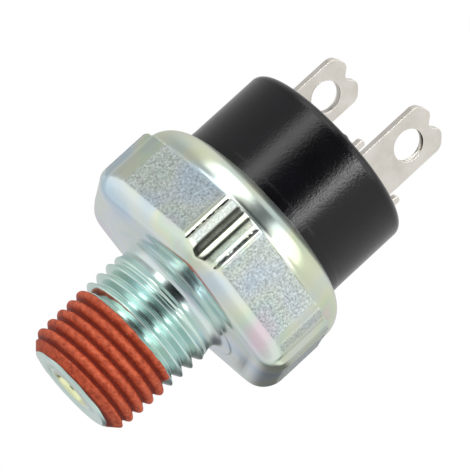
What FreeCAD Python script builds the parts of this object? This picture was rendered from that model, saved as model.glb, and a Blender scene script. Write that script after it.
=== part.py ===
"""Oil pressure sender: a diaphragm switch in a crimped steel hex cup, with two blade terminals.

Millimetres. +Z runs along the axis from the threaded end to the terminals, and the origin is at the
centre of the threaded end's face. The two blades lie on the X axis and their flat sides face along X.
"""
import FreeCAD, Part
import math
import os

Vector = FreeCAD.Vector
ORIGIN = Vector(0, 0, 0)
UP = Vector(0, 0, 1)

# Taper thread, 1/4-18 NPT
thread_major_radius = 6.63      # crest radius in the plane of the end face
thread_pitch = 1.411
thread_slope = 1 / 32           # growth of the radius along the axis
thread_depth = 1.0
thread_length = 12.2            # where the groove starts to run out
thread_runout = 1.3
crest_flat = 0.12
root_flat = 0.10
end_face_radius = 5.6
end_chamfer_height = 1.0
port_radius = 1.7
port_countersink = 0.3

# Red sealant on the first threads
sealant_start = 0.9
sealant_length = 7.0
sealant_thickness = 0.1

# Steel cup
neck_radius = 6.65
neck_flare_height = 0.9
cup_bottom_z = 15.3
cup_bottom_rise = 0.4           # the underside falls this much towards the neck
hex_across_flats = 28.0
hex_turn = -13.0                # degrees between +X and the nearest flat's normal
corner_radius_out = 15.3        # from the axis to the narrow flat on a corner
corner_facet_reach = 14.96      # from the axis to the facets beside it
corner_facet_angle = 15.0
bevel_inner_radius = 12.3
bevel_height = 3.0
bevel_angle = 43.0
hex_top_z = 23.4
hex_top_chamfer = 0.35
dome_radius = 14.0
dome_start_z = 22.2
lip_radius = 11.25
lip_z = 27.0
lip_thickness = 0.8
cup_bore_radius = 12.4
chamber_radius = 8.0
chamber_depth = 2.0
chamber_floor = 2.6

# Parts clamped in the cup, from the floor up
stack_clearance = 0.1
gasket_inner_radius = 9.0
gasket_thickness = 1.0
diaphragm_thickness = 0.25
support_thickness = 1.2
support_hole_radius = 4.4

# Black moulded cap
cap_radius = 11.1
cap_top_z = 37.6
cap_edge_radius = 1.0
cap_roof = 4.0
cap_cavity_radius = 9.2
cap_flange_height = 2.4
cap_seat_radius = 9.8
seal_section_radius = 0.45

# Contact base, the moulded disc that carries the terminals' feet
contact_base_height = 2.45
slide_clearance = 0.05

# Blade terminals, one stamping each
blade_width = 6.3
blade_thickness = 0.8
blade_offset = 7.9              # from the axis to the middle of the sheet
blade_height = 9.05             # above the cap
blade_hole_radius = 1.9
blade_hole_drop = 3.8           # from the tip to the hole's centre
tip_notch_depth = 0.75
tip_notch_width = 2.2
tip_bump_width = 3.0            # between the two highest points
tip_shoulder_drop = 1.35
ear_width = 0.8
ear_gap = 0.75
ear_height = 1.3
shoulder_depth = 2.0            # how deep the wide shoulders sit in the roof
slot_clearance = 0.05
foot_end = 2.5                  # from the axis to the foot's inner end
bend_inner_radius = 0.4

# Contacts, rivets and bridge
contact_radius = 1.0
contact_offset = 3.7
fixed_contact_height = 0.5
moving_contact_height = 0.4
rivet_offset = 5.9
rivet_radius = 0.6
rivet_head_radius = 0.95
rivet_head_height = 0.4
bridge_length = 10.4
bridge_width = 3.0
bridge_thickness = 0.5

# Plunger
plunger_radius = 1.4
plunger_foot_radius = 4.2
plunger_foot_height = 0.6

# Spring, seat, adjusting screw and its seal
spring_radius = 2.2
spring_wire = 0.45
spring_turns = 4.5
seat_radius = 2.9
seat_thickness = 0.6
seat_pin_radius = 1.5
seat_pin_height = 1.0
insert_radius = 3.0
insert_flange_height = 0.6
insert_flange_radius = 3.6
screw_radius = 2.0
screw_length = 3.0
screw_slot_width = 0.6
screw_slot_depth = 0.8
insert_top_gap = 0.1
adjuster_seal_rise = 0.3

# Heights of the stack, worked out from the floor up
chamber_bottom_z = cup_bottom_z + chamber_floor
ledge_z = chamber_bottom_z + chamber_depth
diaphragm_z = ledge_z + gasket_thickness
support_z = diaphragm_z + diaphragm_thickness
cap_bottom_z = support_z + support_thickness
stack_radius = cup_bore_radius - stack_clearance
foot_z = cap_bottom_z + contact_base_height
fixed_contact_z = foot_z + blade_thickness
moving_contact_z = fixed_contact_z + fixed_contact_height
bridge_z = moving_contact_z + moving_contact_height
spring_z = bridge_z + bridge_thickness
roof_z = cap_top_z - cap_roof
blade_tip_z = cap_top_z + blade_height
shoulder_z = cap_top_z - shoulder_depth
shoulder_width = blade_width + 2 * (ear_gap + ear_width)
flange_shoulder_z = cap_bottom_z + cap_flange_height
lip_inner_z = lip_z - lip_thickness
seal_z = cap_bottom_z + cap_flange_height / 2
seat_z = roof_z - seat_thickness
insert_height = screw_length + insert_top_gap


def point(x, z):
    """A point of a turned outline, at radius x and height z."""
    return Vector(x, 0, z)


def closed_wire(points):
    """A closed polygon through the points."""
    return Part.makePolygon(points + [points[0]])


def turned(points):
    """The solid turned by a closed outline of radius and height pairs about the Z axis."""
    face = Part.Face(closed_wire([point(x, z) for x, z in points]))
    return face.revolve(ORIGIN, UP, 360)


def turned_edges(edges):
    """The solid turned by a closed outline of edges in the XZ plane."""
    face = Part.Face(Part.Wire(edges))
    return face.revolve(ORIGIN, UP, 360)


def disc(radius, bottom, height, hole=0.0):
    """A flat disc, with a round hole in its middle where one is given."""
    solid = Part.makeCylinder(radius, height, Vector(0, 0, bottom))
    if hole > 0:
        solid = solid.cut(Part.makeCylinder(hole, height, Vector(0, 0, bottom)))
    return solid


def block(x_low, x_high, width, bottom, top):
    """A box from x_low to x_high, centred on the X axis."""
    return Part.makeBox(x_high - x_low, width, top - bottom, Vector(x_low, -width / 2, bottom))


def mirrored(shape):
    """The same piece on the other side of the axis, turned by half a turn."""
    copy = shape.copy()
    copy.rotate(ORIGIN, UP, 180)
    return copy


def thread_radius(z):
    """Crest radius of the taper thread at height z."""
    return thread_major_radius + thread_slope * z


def thread_groove(offset=0.0):
    """The helical groove of the thread, as a tool that is cut from the stem."""
    half_mouth = (thread_pitch - crest_flat) / 2
    half_root = root_flat / 2
    start = -2 * thread_pitch
    height = thread_length + thread_runout + thread_pitch - start
    radius = thread_radius(start) + offset
    helix = Part.makeLongHelix(thread_pitch, height, radius, math.degrees(math.atan(thread_slope)))
    helix.translate(Vector(0, 0, start))
    spare = thread_depth
    slope = (half_mouth - half_root) / thread_depth
    wide = half_mouth + slope * spare
    profile = closed_wire([
        Vector(radius - thread_depth, 0, start - half_root),
        Vector(radius + spare, 0, start - wide),
        Vector(radius + spare, 0, start + wide),
        Vector(radius - thread_depth, 0, start + half_root),
    ])
    tool = Part.Wire(helix).makePipeShell([profile], True, True)
    return tool


def stem_blank(offset=0.0):
    """The stem before threading: a taper with a chamfered end."""
    top = cup_bottom_z
    return turned([
        (0, 0),
        (end_face_radius + offset, 0),
        (thread_radius(end_chamfer_height) + offset, end_chamfer_height),
        (thread_radius(top) + offset, top),
        (0, top),
    ])


def runout_limit():
    """The space that the groove may cut: it closes towards the neck, so that the groove runs out."""
    outer = 2 * thread_major_radius
    end = thread_length + thread_runout
    return turned([
        (thread_major_radius - 2 * thread_depth, -thread_pitch),
        (outer, -thread_pitch),
        (outer, end),
        (thread_radius(end), end),
        (thread_major_radius - thread_depth, thread_length),
        (thread_major_radius - 2 * thread_depth, thread_length),
    ])


def threaded_stem(offset=0.0):
    """The stem with its thread, grown by an offset where it is the outside of the sealant."""
    groove = thread_groove(offset).common(runout_limit())
    return stem_blank(offset).cut(groove)


def hexagon_prism(reach, angle, bottom, top):
    """A prism of six flats at a distance from the axis, turned from the cup's flats by an angle."""
    corner = reach / math.cos(math.radians(30))
    points = []
    for k in range(6):
        turn = math.radians(hex_turn + angle + 30 + 60 * k)
        points.append(Vector(corner * math.cos(turn), corner * math.sin(turn), bottom))
    return Part.Face(closed_wire(points)).extrude(Vector(0, 0, top - bottom))


def hex_body():
    """The hexagon of the cup: flats, and three narrow facets on each corner."""
    flats = hexagon_prism(hex_across_flats / 2, 0, cup_bottom_z, hex_top_z)
    tips = hexagon_prism(corner_radius_out, 30, cup_bottom_z, hex_top_z)
    body = flats.common(tips)
    for side in (-1, 1):
        turn = 30 + side * corner_facet_angle
        body = body.common(hexagon_prism(corner_facet_reach, turn, cup_bottom_z, hex_top_z))
    bevel_reach = bevel_inner_radius + bevel_height / math.tan(math.radians(bevel_angle))
    top_reach = corner_radius_out + hex_top_chamfer
    envelope = turned([
        (0, cup_bottom_z),
        (bevel_inner_radius, cup_bottom_z),
        (bevel_reach, cup_bottom_z + bevel_height),
        (top_reach, hex_top_z - hex_top_chamfer),
        (corner_radius_out - hex_top_chamfer, hex_top_z),
        (0, hex_top_z),
    ])
    return body.common(envelope)


def dome_body():
    """The round top of the cup, which turns in over the cap's flange."""
    across = dome_radius - lip_radius
    rise = lip_z - dome_start_z
    radius = (across ** 2 + rise ** 2) / (2 * across)
    centre = dome_radius - radius
    half = math.asin(rise / radius) / 2
    middle = point(centre + radius * math.cos(half), dome_start_z + radius * math.sin(half))
    arc = Part.Arc(point(dome_radius, dome_start_z), middle, point(lip_radius, lip_z)).toShape()
    rest = Part.makePolygon([
        point(lip_radius, lip_z),
        point(0, lip_z),
        point(0, cup_bottom_z),
        point(bevel_inner_radius, cup_bottom_z),
        point(dome_radius, cup_bottom_z + bevel_height),
        point(dome_radius, dome_start_z),
    ])
    return turned_edges([arc] + rest.Edges)


def neck():
    """The neck between the thread and the cup, which flares into the cup's underside."""
    top = cup_bottom_z
    low = cup_bottom_z - cup_bottom_rise
    start = thread_length + thread_runout
    return turned([
        (0, start - thread_pitch),
        (thread_radius(start) - thread_depth, start - thread_pitch),
        (thread_radius(start) - thread_depth, start),
        (neck_radius, start),
        (neck_radius, low - neck_flare_height),
        (neck_radius + neck_flare_height, low),
        (bevel_inner_radius, top),
        (0, top),
    ])


def cup_hollow():
    """Everything inside the cup: port, chamber, bore for the clamped stack and the lip's underside."""
    return turned([
        (0, 0),
        (port_radius + port_countersink, 0),
        (port_radius, port_countersink),
        (port_radius, chamber_bottom_z),
        (chamber_radius, chamber_bottom_z),
        (chamber_radius, ledge_z),
        (cup_bore_radius, ledge_z),
        (cup_bore_radius, flange_shoulder_z),
        (cap_radius + stack_clearance, lip_inner_z),
        (cap_radius + stack_clearance, lip_z),
        (0, lip_z),
    ])


def steel_base():
    """The threaded stem and the crimped hex cup, one piece of plated steel."""
    outside = hex_body().fuse(dome_body()).fuse(neck()).fuse(threaded_stem())
    return outside.cut(cup_hollow()).removeSplitter()


def thread_sealant():
    """The red coat on the first threads, with the form of the thread under it."""
    band = disc(2 * thread_major_radius, sealant_start, sealant_length)
    coat = threaded_stem(sealant_thickness).common(band)
    return coat.cut(threaded_stem())


def diaphragm_gasket():
    """The flat rubber ring that seals the diaphragm on the cup's ledge."""
    return disc(stack_radius, ledge_z, gasket_thickness, gasket_inner_radius)


def diaphragm():
    """The film that the oil pushes on."""
    return disc(stack_radius, diaphragm_z, diaphragm_thickness)


def support_plate():
    """The steel washer that clamps the diaphragm and guides the plunger's foot."""
    return disc(stack_radius, support_z, support_thickness, support_hole_radius)


def terminal_cap():
    """The black moulded cap: flange, wall and roof, with its cavity, slots and insert pocket."""
    low_edge = cap_radius - cap_edge_radius
    arc_mid = cap_edge_radius * math.sin(math.radians(45))
    arc = Part.Arc(
        point(cap_radius, cap_top_z - cap_edge_radius),
        point(low_edge + arc_mid, cap_top_z - cap_edge_radius + arc_mid),
        point(low_edge, cap_top_z),
    ).toShape()
    outline = Part.makePolygon([
        point(low_edge, cap_top_z),
        point(0, cap_top_z),
        point(0, roof_z),
        point(cap_cavity_radius, roof_z),
        point(cap_cavity_radius, foot_z),
        point(cap_seat_radius, foot_z),
        point(cap_seat_radius, cap_bottom_z),
        point(stack_radius, cap_bottom_z),
        point(stack_radius, flange_shoulder_z),
        point(cap_radius, lip_inner_z),
        point(cap_radius, cap_top_z - cap_edge_radius),
    ])
    body = turned_edges([arc] + outline.Edges)
    body = body.cut(seal_groove())
    body = body.cut(insert_pocket())
    slot = terminal_slot()
    return body.cut(slot).cut(mirrored(slot))


def seal_groove():
    """The groove in the flange's edge for the cap seal."""
    height = 2 * seal_section_radius
    return disc(cup_bore_radius, seal_z - height / 2, height, cup_bore_radius - height)


def cap_seal():
    """The rubber ring between the cap's flange and the cup's wall."""
    return Part.makeTorus(cup_bore_radius - seal_section_radius, seal_section_radius, Vector(0, 0, seal_z))


def insert_pocket():
    """The pocket through the roof for the threaded insert and the seal over the screw."""
    through = disc(insert_radius, roof_z, cap_roof)
    return through.fuse(disc(insert_flange_radius, roof_z, insert_flange_height))


def terminal_slot():
    """The slot in the roof for one blade, wider above for its shoulders."""
    half = blade_thickness / 2 + slot_clearance
    low = blade_offset - half
    high = blade_offset + half
    narrow = block(low, high, blade_width + 2 * slot_clearance, roof_z, cap_top_z)
    wide = block(low, high, shoulder_width + 2 * slot_clearance, shoulder_z, cap_top_z)
    return narrow.fuse(wide)


def contact_base():
    """The moulded disc that carries the terminals' feet and guides the plunger."""
    radius = cap_seat_radius - slide_clearance
    body = disc(radius, cap_bottom_z, contact_base_height, plunger_radius + slide_clearance)
    for side in (-1, 1):
        place = Vector(side * rivet_offset, 0, cap_bottom_z)
        body = body.cut(Part.makeCylinder(rivet_radius, contact_base_height, place))
        body = body.cut(Part.makeCylinder(rivet_head_radius, rivet_head_height, place))
    return body


def blade_outline():
    """The tip of the blade: two rounded bumps with a notch between them and sloping shoulders."""
    half = blade_width / 2
    bump = tip_bump_width / 2
    notch = tip_notch_width / 2
    top = blade_tip_z
    shoulder = top - tip_shoulder_drop
    round_off = (half - bump) / 3
    sheet = blade_offset - blade_thickness / 2

    def at(y, z):
        return Vector(sheet, y, z)

    floor = top - tip_notch_depth
    edges = [
        Part.makePolygon([at(-half, shoulder_z), at(-half, shoulder)]),
        Part.Arc(at(-half, shoulder), at(-half + round_off, shoulder + tip_shoulder_drop / 2),
                 at(-bump, top)).toShape(),
        Part.makePolygon([at(-bump, top), at(-notch / 2, floor)]),
        Part.makePolygon([at(-notch / 2, floor), at(notch / 2, floor)]),
        Part.makePolygon([at(notch / 2, floor), at(bump, top)]),
        Part.Arc(at(bump, top), at(half - round_off, shoulder + tip_shoulder_drop / 2),
                 at(half, shoulder)).toShape(),
        Part.makePolygon([at(half, shoulder), at(half, shoulder_z), at(-half, shoulder_z)]),
    ]
    return Part.Wire([edge for piece in edges for edge in piece.Edges])


def right_terminal():
    """One stamped sheet: blade, two ears, shoulders in the roof, and a foot folded to the axis."""
    low = blade_offset - blade_thickness / 2
    high = blade_offset + blade_thickness / 2
    sheet = Vector(blade_thickness, 0, 0)
    blade = Part.Face(blade_outline()).extrude(sheet)
    ear_top = cap_top_z + ear_height
    shoulders = block(low, high, shoulder_width, shoulder_z, ear_top)
    for side in (-1, 1):
        gap_low = side * (blade_width / 2 + ear_gap / 2) - ear_gap / 2
        gap = Part.makeBox(blade_thickness, ear_gap, ear_top - cap_top_z, Vector(low, gap_low, cap_top_z))
        shoulders = shoulders.cut(gap)
    shoulders = round_ears(shoulders, ear_top)
    hole = Part.makeCylinder(
        blade_hole_radius, blade_thickness, Vector(low, 0, blade_tip_z - blade_hole_drop), Vector(1, 0, 0))
    body = blade.fuse(shoulders).cut(hole)
    return body.fuse(terminal_leg()).removeSplitter()


def round_ears(shoulders, ear_top):
    """The shoulders with the outer corner of each ear rounded over."""
    radius = ear_width / 2
    low = blade_offset - blade_thickness / 2
    for side in (-1, 1):
        middle = side * (shoulder_width / 2 - radius)
        corner = Part.makeBox(blade_thickness, ear_width, radius,
                              Vector(low, middle - radius, ear_top - radius))
        round_top = Part.makeCylinder(radius, blade_thickness,
                                      Vector(low, middle, ear_top - radius), Vector(1, 0, 0))
        shoulders = shoulders.cut(corner.cut(round_top))
    return shoulders


def terminal_leg():
    """The part of the terminal below the roof: straight down, then folded in along the contact base."""
    low = blade_offset - blade_thickness / 2
    high = blade_offset + blade_thickness / 2
    outer = bend_inner_radius + blade_thickness
    centre_x = high - outer
    centre_z = foot_z + outer
    cos45 = math.cos(math.radians(45))

    def at(x, z):
        return Vector(x, -blade_width / 2, z)

    outer_arc = Part.Arc(
        at(high, centre_z), at(centre_x + outer * cos45, centre_z - outer * cos45), at(centre_x, foot_z))
    inner_arc = Part.Arc(
        at(centre_x, fixed_contact_z),
        at(centre_x + bend_inner_radius * cos45, centre_z - bend_inner_radius * cos45),
        at(low, centre_z))
    edges = Part.makePolygon([at(centre_x, foot_z), at(foot_end, foot_z), at(foot_end, fixed_contact_z),
                              at(centre_x, fixed_contact_z)]).Edges
    edges += Part.makePolygon([at(low, centre_z), at(low, shoulder_z), at(high, shoulder_z),
                               at(high, centre_z)]).Edges
    face = Part.Face(Part.Wire(Part.__sortEdges__(edges + [outer_arc.toShape(), inner_arc.toShape()])))
    leg = face.extrude(Vector(0, blade_width, 0))
    rivet_hole = Part.makeCylinder(rivet_radius, blade_thickness, Vector(rivet_offset, 0, foot_z))
    return leg.cut(rivet_hole)


def contact_button(bottom, height):
    """One silver button at the right-hand contact."""
    return Part.makeCylinder(contact_radius, height, Vector(contact_offset, 0, bottom))


def terminal_rivets():
    """The two rivets that hold the terminals' feet on the contact base, headed at both ends."""
    rivets = []
    top = fixed_contact_z
    for side in (-1, 1):
        place = Vector(side * rivet_offset, 0, cap_bottom_z)
        shank = Part.makeCylinder(rivet_radius, top - cap_bottom_z, place)
        lower = Part.makeCylinder(rivet_head_radius, rivet_head_height, place)
        upper = Part.makeCylinder(rivet_head_radius, rivet_head_height, Vector(place.x, 0, top))
        rivets.append(shank.fuse(lower).fuse(upper).removeSplitter())
    return Part.makeCompound(rivets)


def plunger():
    """The moulded plunger: a wide foot on the diaphragm and a stem that lifts the bridge."""
    foot = disc(plunger_foot_radius, support_z, plunger_foot_height)
    stem = disc(plunger_radius, support_z, bridge_z - support_z)
    return foot.fuse(stem).removeSplitter()


def contact_bridge():
    """The strip that joins the two fixed contacts at rest."""
    half = bridge_length / 2
    return block(-half, half, bridge_width, bridge_z, spring_z)


def contact_spring():
    """The coil spring that presses the bridge down."""
    radius = spring_wire / 2
    height = seat_z - spring_z - spring_wire
    helix = Part.makeLongHelix(height / spring_turns, height, spring_radius, 0)
    helix.translate(Vector(0, 0, spring_z + radius))
    section = Part.Wire(Part.makeCircle(radius, Vector(spring_radius, 0, spring_z + radius), Vector(0, 1, 0)))
    return Part.Wire(helix).makePipeShell([section], True, True)


def spring_seat():
    """The brass seat between the spring and the adjusting screw, with a pin inside the coil."""
    plate = disc(seat_radius, seat_z, seat_thickness)
    return plate.fuse(disc(seat_pin_radius, seat_z - seat_pin_height, seat_pin_height)).removeSplitter()


def screw_insert():
    """The brass insert moulded into the roof, which the adjusting screw turns in."""
    tube = disc(insert_radius, roof_z, insert_height, screw_radius + slide_clearance)
    flange = disc(insert_flange_radius, roof_z, insert_flange_height, screw_radius + slide_clearance)
    return tube.fuse(flange).removeSplitter()


def adjusting_screw():
    """The slotted set screw that loads the spring."""
    body = disc(screw_radius, roof_z, screw_length)
    top = roof_z + screw_length
    slot = block(-screw_radius, screw_radius, screw_slot_width, top - screw_slot_depth, top)
    return body.cut(slot)


def adjuster_seal():
    """The sealing compound over the screw, slightly domed above the roof."""
    top = cap_top_z + adjuster_seal_rise
    arc = Part.Arc(point(0, top), point(insert_radius / 2, cap_top_z + 0.75 * adjuster_seal_rise),
                   point(insert_radius, cap_top_z)).toShape()
    rest = Part.makePolygon([
        point(insert_radius, cap_top_z),
        point(insert_radius, roof_z + insert_height),
        point(0, roof_z + insert_height),
        point(0, top),
    ])
    return turned_edges([arc] + rest.Edges)


def build():
    """Every piece by its name."""
    terminal = right_terminal()
    fixed = contact_button(fixed_contact_z, fixed_contact_height)
    moving = contact_button(moving_contact_z, moving_contact_height)
    return {
        "steel_base": steel_base(),
        "thread_sealant": thread_sealant(),
        "diaphragm_gasket": diaphragm_gasket(),
        "diaphragm": diaphragm(),
        "support_plate": support_plate(),
        "cap_seal": cap_seal(),
        "terminal_cap": terminal_cap(),
        "contact_base": contact_base(),
        "right_terminal": terminal,
        "left_terminal": mirrored(terminal),
        "right_fixed_contact": fixed,
        "left_fixed_contact": mirrored(fixed),
        "terminal_rivets": terminal_rivets(),
        "plunger": plunger(),
        "contact_bridge": contact_bridge(),
        "right_moving_contact": moving,
        "left_moving_contact": mirrored(moving),
        "contact_spring": contact_spring(),
        "spring_seat": spring_seat(),
        "screw_insert": screw_insert(),
        "adjusting_screw": adjusting_screw(),
        "adjuster_seal": adjuster_seal(),
    }


def main():
    """Writes one STEP file for each piece."""
    os.makedirs("parts", exist_ok=True)
    for name, shape in build().items():
        shape.exportStep("parts/" + name + ".step")


if __name__ == "__main__":
    main()
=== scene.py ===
"""Oil pressure sender: plated hex cup with sealed taper thread, black cap and two blade terminals.

Sizes in the property groups are metres. The shape functions work in millimetres, with the origin at the
centre of the threaded end's face and +Z towards the terminals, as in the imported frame.
"""
import math
from functools import partial
from types import SimpleNamespace

import bpy
import numpy as np
from bpy.props import FloatProperty, FloatVectorProperty, PointerProperty
from mathutils import Matrix, Vector


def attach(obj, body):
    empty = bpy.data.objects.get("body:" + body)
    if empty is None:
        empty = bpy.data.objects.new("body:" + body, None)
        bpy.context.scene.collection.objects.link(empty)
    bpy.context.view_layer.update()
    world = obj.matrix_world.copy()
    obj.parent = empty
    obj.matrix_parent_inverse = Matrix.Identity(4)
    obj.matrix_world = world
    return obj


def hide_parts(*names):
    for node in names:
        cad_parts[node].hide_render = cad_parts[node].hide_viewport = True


bl_info = {
    "name": "Oil Pressure Sender",
    "version": (1, 0, 0),
    "blender": (4, 5, 0),
    "location": "3D View > Sidebar > Sender",
    "description": "Pieces, finishes and studio of an oil pressure sender",
    "category": "Object",
}

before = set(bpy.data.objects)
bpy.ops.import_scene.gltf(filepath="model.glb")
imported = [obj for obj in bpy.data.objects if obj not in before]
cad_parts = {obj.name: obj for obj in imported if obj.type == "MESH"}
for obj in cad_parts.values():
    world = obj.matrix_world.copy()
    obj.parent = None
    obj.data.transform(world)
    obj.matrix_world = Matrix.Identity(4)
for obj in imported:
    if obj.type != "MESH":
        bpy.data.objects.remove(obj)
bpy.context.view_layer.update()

MM = 0.001
TAU = 2 * math.pi
BODY = "sender_body"
SECTORS = 6


# ---- sizes and colours

def length(text, size):
    """A length property in metres, from a size in millimetres."""
    return FloatProperty(name=text, description=text, default=size * MM, unit="LENGTH", precision=5)


def tint(text, colour):
    """A colour property, from an sRGB hex colour."""
    return FloatVectorProperty(name=text, description=text, subtype="COLOR", size=4, min=0.0, max=1.0,
                               default=linear(colour))


def linear(colour):
    """Linear RGBA of an sRGB hex colour: each channel is c/12.92 below 0.04045, else ((c+0.055)/1.055)^2.4."""
    channels = [int(colour[k:k + 2], 16) / 255 for k in (1, 3, 5)]
    return tuple(c / 12.92 if c <= 0.04045 else ((c + 0.055) / 1.055) ** 2.4 for c in channels) + (1.0,)


class SenderBase(bpy.types.PropertyGroup):
    """Sizes of the plated steel base."""
    pitch: length("Pitch of the taper thread", 1.411)
    crest: length("Crest radius at the end face", 6.63)
    depth: length("Height of the thread's ridge", 0.95)
    crest_flat: length("Width of each crest's flat", 0.12)
    root_flat: length("Width of each root's flat", 0.10)
    thread_length: length("Height where the groove runs out", 12.2)
    runout: length("Height of the run-out", 1.3)
    end_radius: length("Radius of the flat end face", 5.08)
    port: length("Radius of the oil port", 1.7)
    countersink: length("Width of the port's countersink", 0.25)
    neck: length("Radius of the neck", 6.65)
    flare: length("Fillet between neck and cup", 0.9)
    underside: length("Height of the underside at the neck", 14.9)
    bottom: length("Height of the underside's edge", 15.36)
    ring: length("Radius of the underside's fine step", 8.55)
    bevel: length("Radius where the underside turns up", 12.3)
    flats: length("Width across flats", 28.0)
    corner: length("Distance from axis to corner strip", 15.28)
    facet: length("Distance from axis to corner facets", 14.96)
    pad_half: length("Half the width of a flat's grained field", 4.87)
    pad_bottom: length("Height of a flat's lower edge", 16.9)
    hex_top: length("Height of a flat's upper edge", 23.4)
    dome: length("Radius where the dome starts", 13.95)
    dome_start: length("Height where the dome starts", 23.85)
    lip: length("Radius of the crimped lip", 11.25)
    lip_top: length("Height of the crimped lip", 27.0)
    cup_bore: length("Radius of the stack's bore", 12.4)
    chamber: length("Radius of the pressure chamber", 8.0)
    chamber_low: length("Height of the chamber's floor", 17.9)
    ledge: length("Height of the gasket's ledge", 19.9)


class SenderCap(bpy.types.PropertyGroup):
    """Sizes of the moulded cap and the seal on it."""
    radius: length("Outer radius of the cap", 11.1)
    top: length("Height of the cap's top", 37.6)
    edge: length("Radius of the upper edge's round", 1.0)
    roof: length("Height of the roof's underside", 33.6)
    pocket: length("Radius of the adjuster's pocket", 3.0)
    flange_low: length("Height of the flange's bottom", 22.35)
    flange_radius: length("Radius of the hidden flange", 12.3)
    flange_top: length("Height of the flange's shoulder", 24.75)
    neck_low: length("Height of the slope's upper end", 26.2)
    cavity: length("Radius of the cavity", 9.2)
    seat: length("Radius of the contact base's seat", 9.8)
    seat_top: length("Height of the contact base's top", 24.8)
    seal_rise: length("Rise of the seal's dome", 0.3)
    seal_low: length("Height of the seal's underside", 36.7)


class SenderTerminals(bpy.types.PropertyGroup):
    """Sizes of the blade terminals."""
    width: length("Width of the blade", 6.35)
    thickness: length("Thickness of the sheet", 0.8)
    offset: length("Distance from axis to mid-sheet", 7.9)
    tip: length("Height of the blade's tip", 46.65)
    hole: length("Radius of the blade's hole", 1.85)
    hole_height: length("Height of the hole's centre", 42.8)
    shoulder: length("Height of the blade's lower end", 35.6)
    ear_width: length("Width of each ear", 0.8)
    ear_gap: length("Gap between blade and ear", 0.75)
    ear_top: length("Height of the ears", 38.9)
    foot: length("Height of the foot's bottom", 24.8)
    foot_end: length("Distance from axis to the foot's end", 2.5)
    bend: length("Inner radius of the bend", 0.4)


class SenderFinish(bpy.types.PropertyGroup):
    """Main colours of the visible finishes."""
    zinc: tint("Zinc plate", "#e6eaea")
    sealant: tint("Red thread sealant", "#e36c46")
    cap: tint("Black moulding", "#0a0a0c")
    tin: tint("Tinned terminals", "#f4f0e8")


def millimetres(group):
    """The lengths of a property group as plain numbers in millimetres."""
    return SimpleNamespace(**{name: getattr(group, name) / MM for name in group.__annotations__})


# ---- meshes from grids

def soft_min(a, b, width):
    """Smooth minimum: minus width times the log of the summed exponentials of minus each value over width."""
    low = np.minimum(a, b)
    return low - width * np.log(np.exp(-(a - low) / width) + np.exp(-(b - low) / width))


def smooth_step(value, low, high):
    """Cubic step from 0 at low to 1 at high: 3t^2 - 2t^3 of the clipped share t."""
    t = np.clip((value - low) / (high - low), 0, 1)
    return t * t * (3 - 2 * t)


def loop_faces(rows, columns):
    """Quads of a grid that closes round in both directions, as a torus does."""
    row, column = np.meshgrid(np.arange(rows), np.arange(columns), indexing="ij")
    row_next, column_next = (row + 1) % rows, (column + 1) % columns
    corners = (row * columns + column, row * columns + column_next,
               row_next * columns + column_next, row_next * columns + column)
    return np.stack(corners, axis=-1).reshape(-1, 4)


def loop_shell(grid):
    """Points and faces of a grid of points, closed in both directions."""
    rows, columns = grid.shape[:2]
    return grid.reshape(-1, 3), loop_faces(rows, columns).tolist()


def capped_shell(grid):
    """Points and faces of a grid whose columns close round, with a fan of triangles to a pole at each end."""
    rows, columns = grid.shape[:2]
    first = np.arange(columns)
    after = (first + 1) % columns
    last = (rows - 1) * columns
    low = np.stack((np.full(columns, rows * columns), after, first), axis=-1)
    high = np.stack((np.full(columns, rows * columns + 1), last + first, last + after), axis=-1)
    faces = loop_faces(rows, columns)[:-columns].tolist() + low.tolist() + high.tolist()
    return np.concatenate((grid.reshape(-1, 3), [grid[0].mean(axis=0), grid[-1].mean(axis=0)])), faces


def joined(shells):
    """Several shells as one list of points and one of faces."""
    points, faces, start = [], [], 0
    for shell_points, shell_faces in shells:
        points.append(shell_points)
        faces += [[corner + start for corner in face] for face in shell_faces]
        start += len(shell_points)
    return np.concatenate(points), faces


def outward(points, faces):
    """The faces, turned round if the volume they enclose comes out negative."""
    fans = np.array([(face[0], face[k], face[k + 1]) for face in faces for k in range(1, len(face) - 1)])
    a, b, c = (points[fans[:, k]] for k in range(3))
    volume = np.einsum("ij,ij->i", a, np.cross(b, c)).sum()
    return [face[::-1] for face in faces] if volume < 0 else faces


def new_piece(name, shells, material, body, nodes, attributes=None):
    """A smooth mesh from shells in millimetres, riding on a body in place of CAD nodes."""
    points, faces = joined([(p, outward(p, f)) for p, f in shells])
    mesh = bpy.data.meshes.new(name)
    mesh.from_pydata((points * MM).tolist(), [], faces)
    mesh.polygons.foreach_set("use_smooth", np.ones(len(mesh.polygons), bool))
    for key, values in (attributes or {}).items():
        layer = mesh.attributes.new(key, "FLOAT", "POINT")
        layer.data.foreach_set("value", values.ravel().astype(np.float32))
    mesh.materials.append(material)
    mesh.update()
    piece = bpy.data.objects.new(name, mesh)
    bpy.context.scene.collection.objects.link(piece)
    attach(piece, body)
    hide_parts(*nodes)
    return piece


def turned_points(radius, azimuth, height):
    """Points at a radius and azimuth about Z and a height."""
    return np.stack((radius * np.cos(azimuth), radius * np.sin(azimuth), height), axis=-1)


def lathe(profile, columns=180):
    """Grid of a profile of radius and height pairs turned about Z."""
    azimuth = np.arange(columns) * TAU / columns
    radius, height = (np.array(v)[:, None] + 0 * azimuth for v in zip(*profile))
    return turned_points(radius, azimuth[None, :], height)


def arc(centre, radius, start, end, steps):
    """Points on an arc in the radius and height plane, angles in degrees from the radius direction."""
    angle = np.radians(np.linspace(start, end, steps))
    return list(zip(centre[0] + radius * np.cos(angle), centre[1] + radius * np.sin(angle)))


# ---- shape of the base

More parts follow.
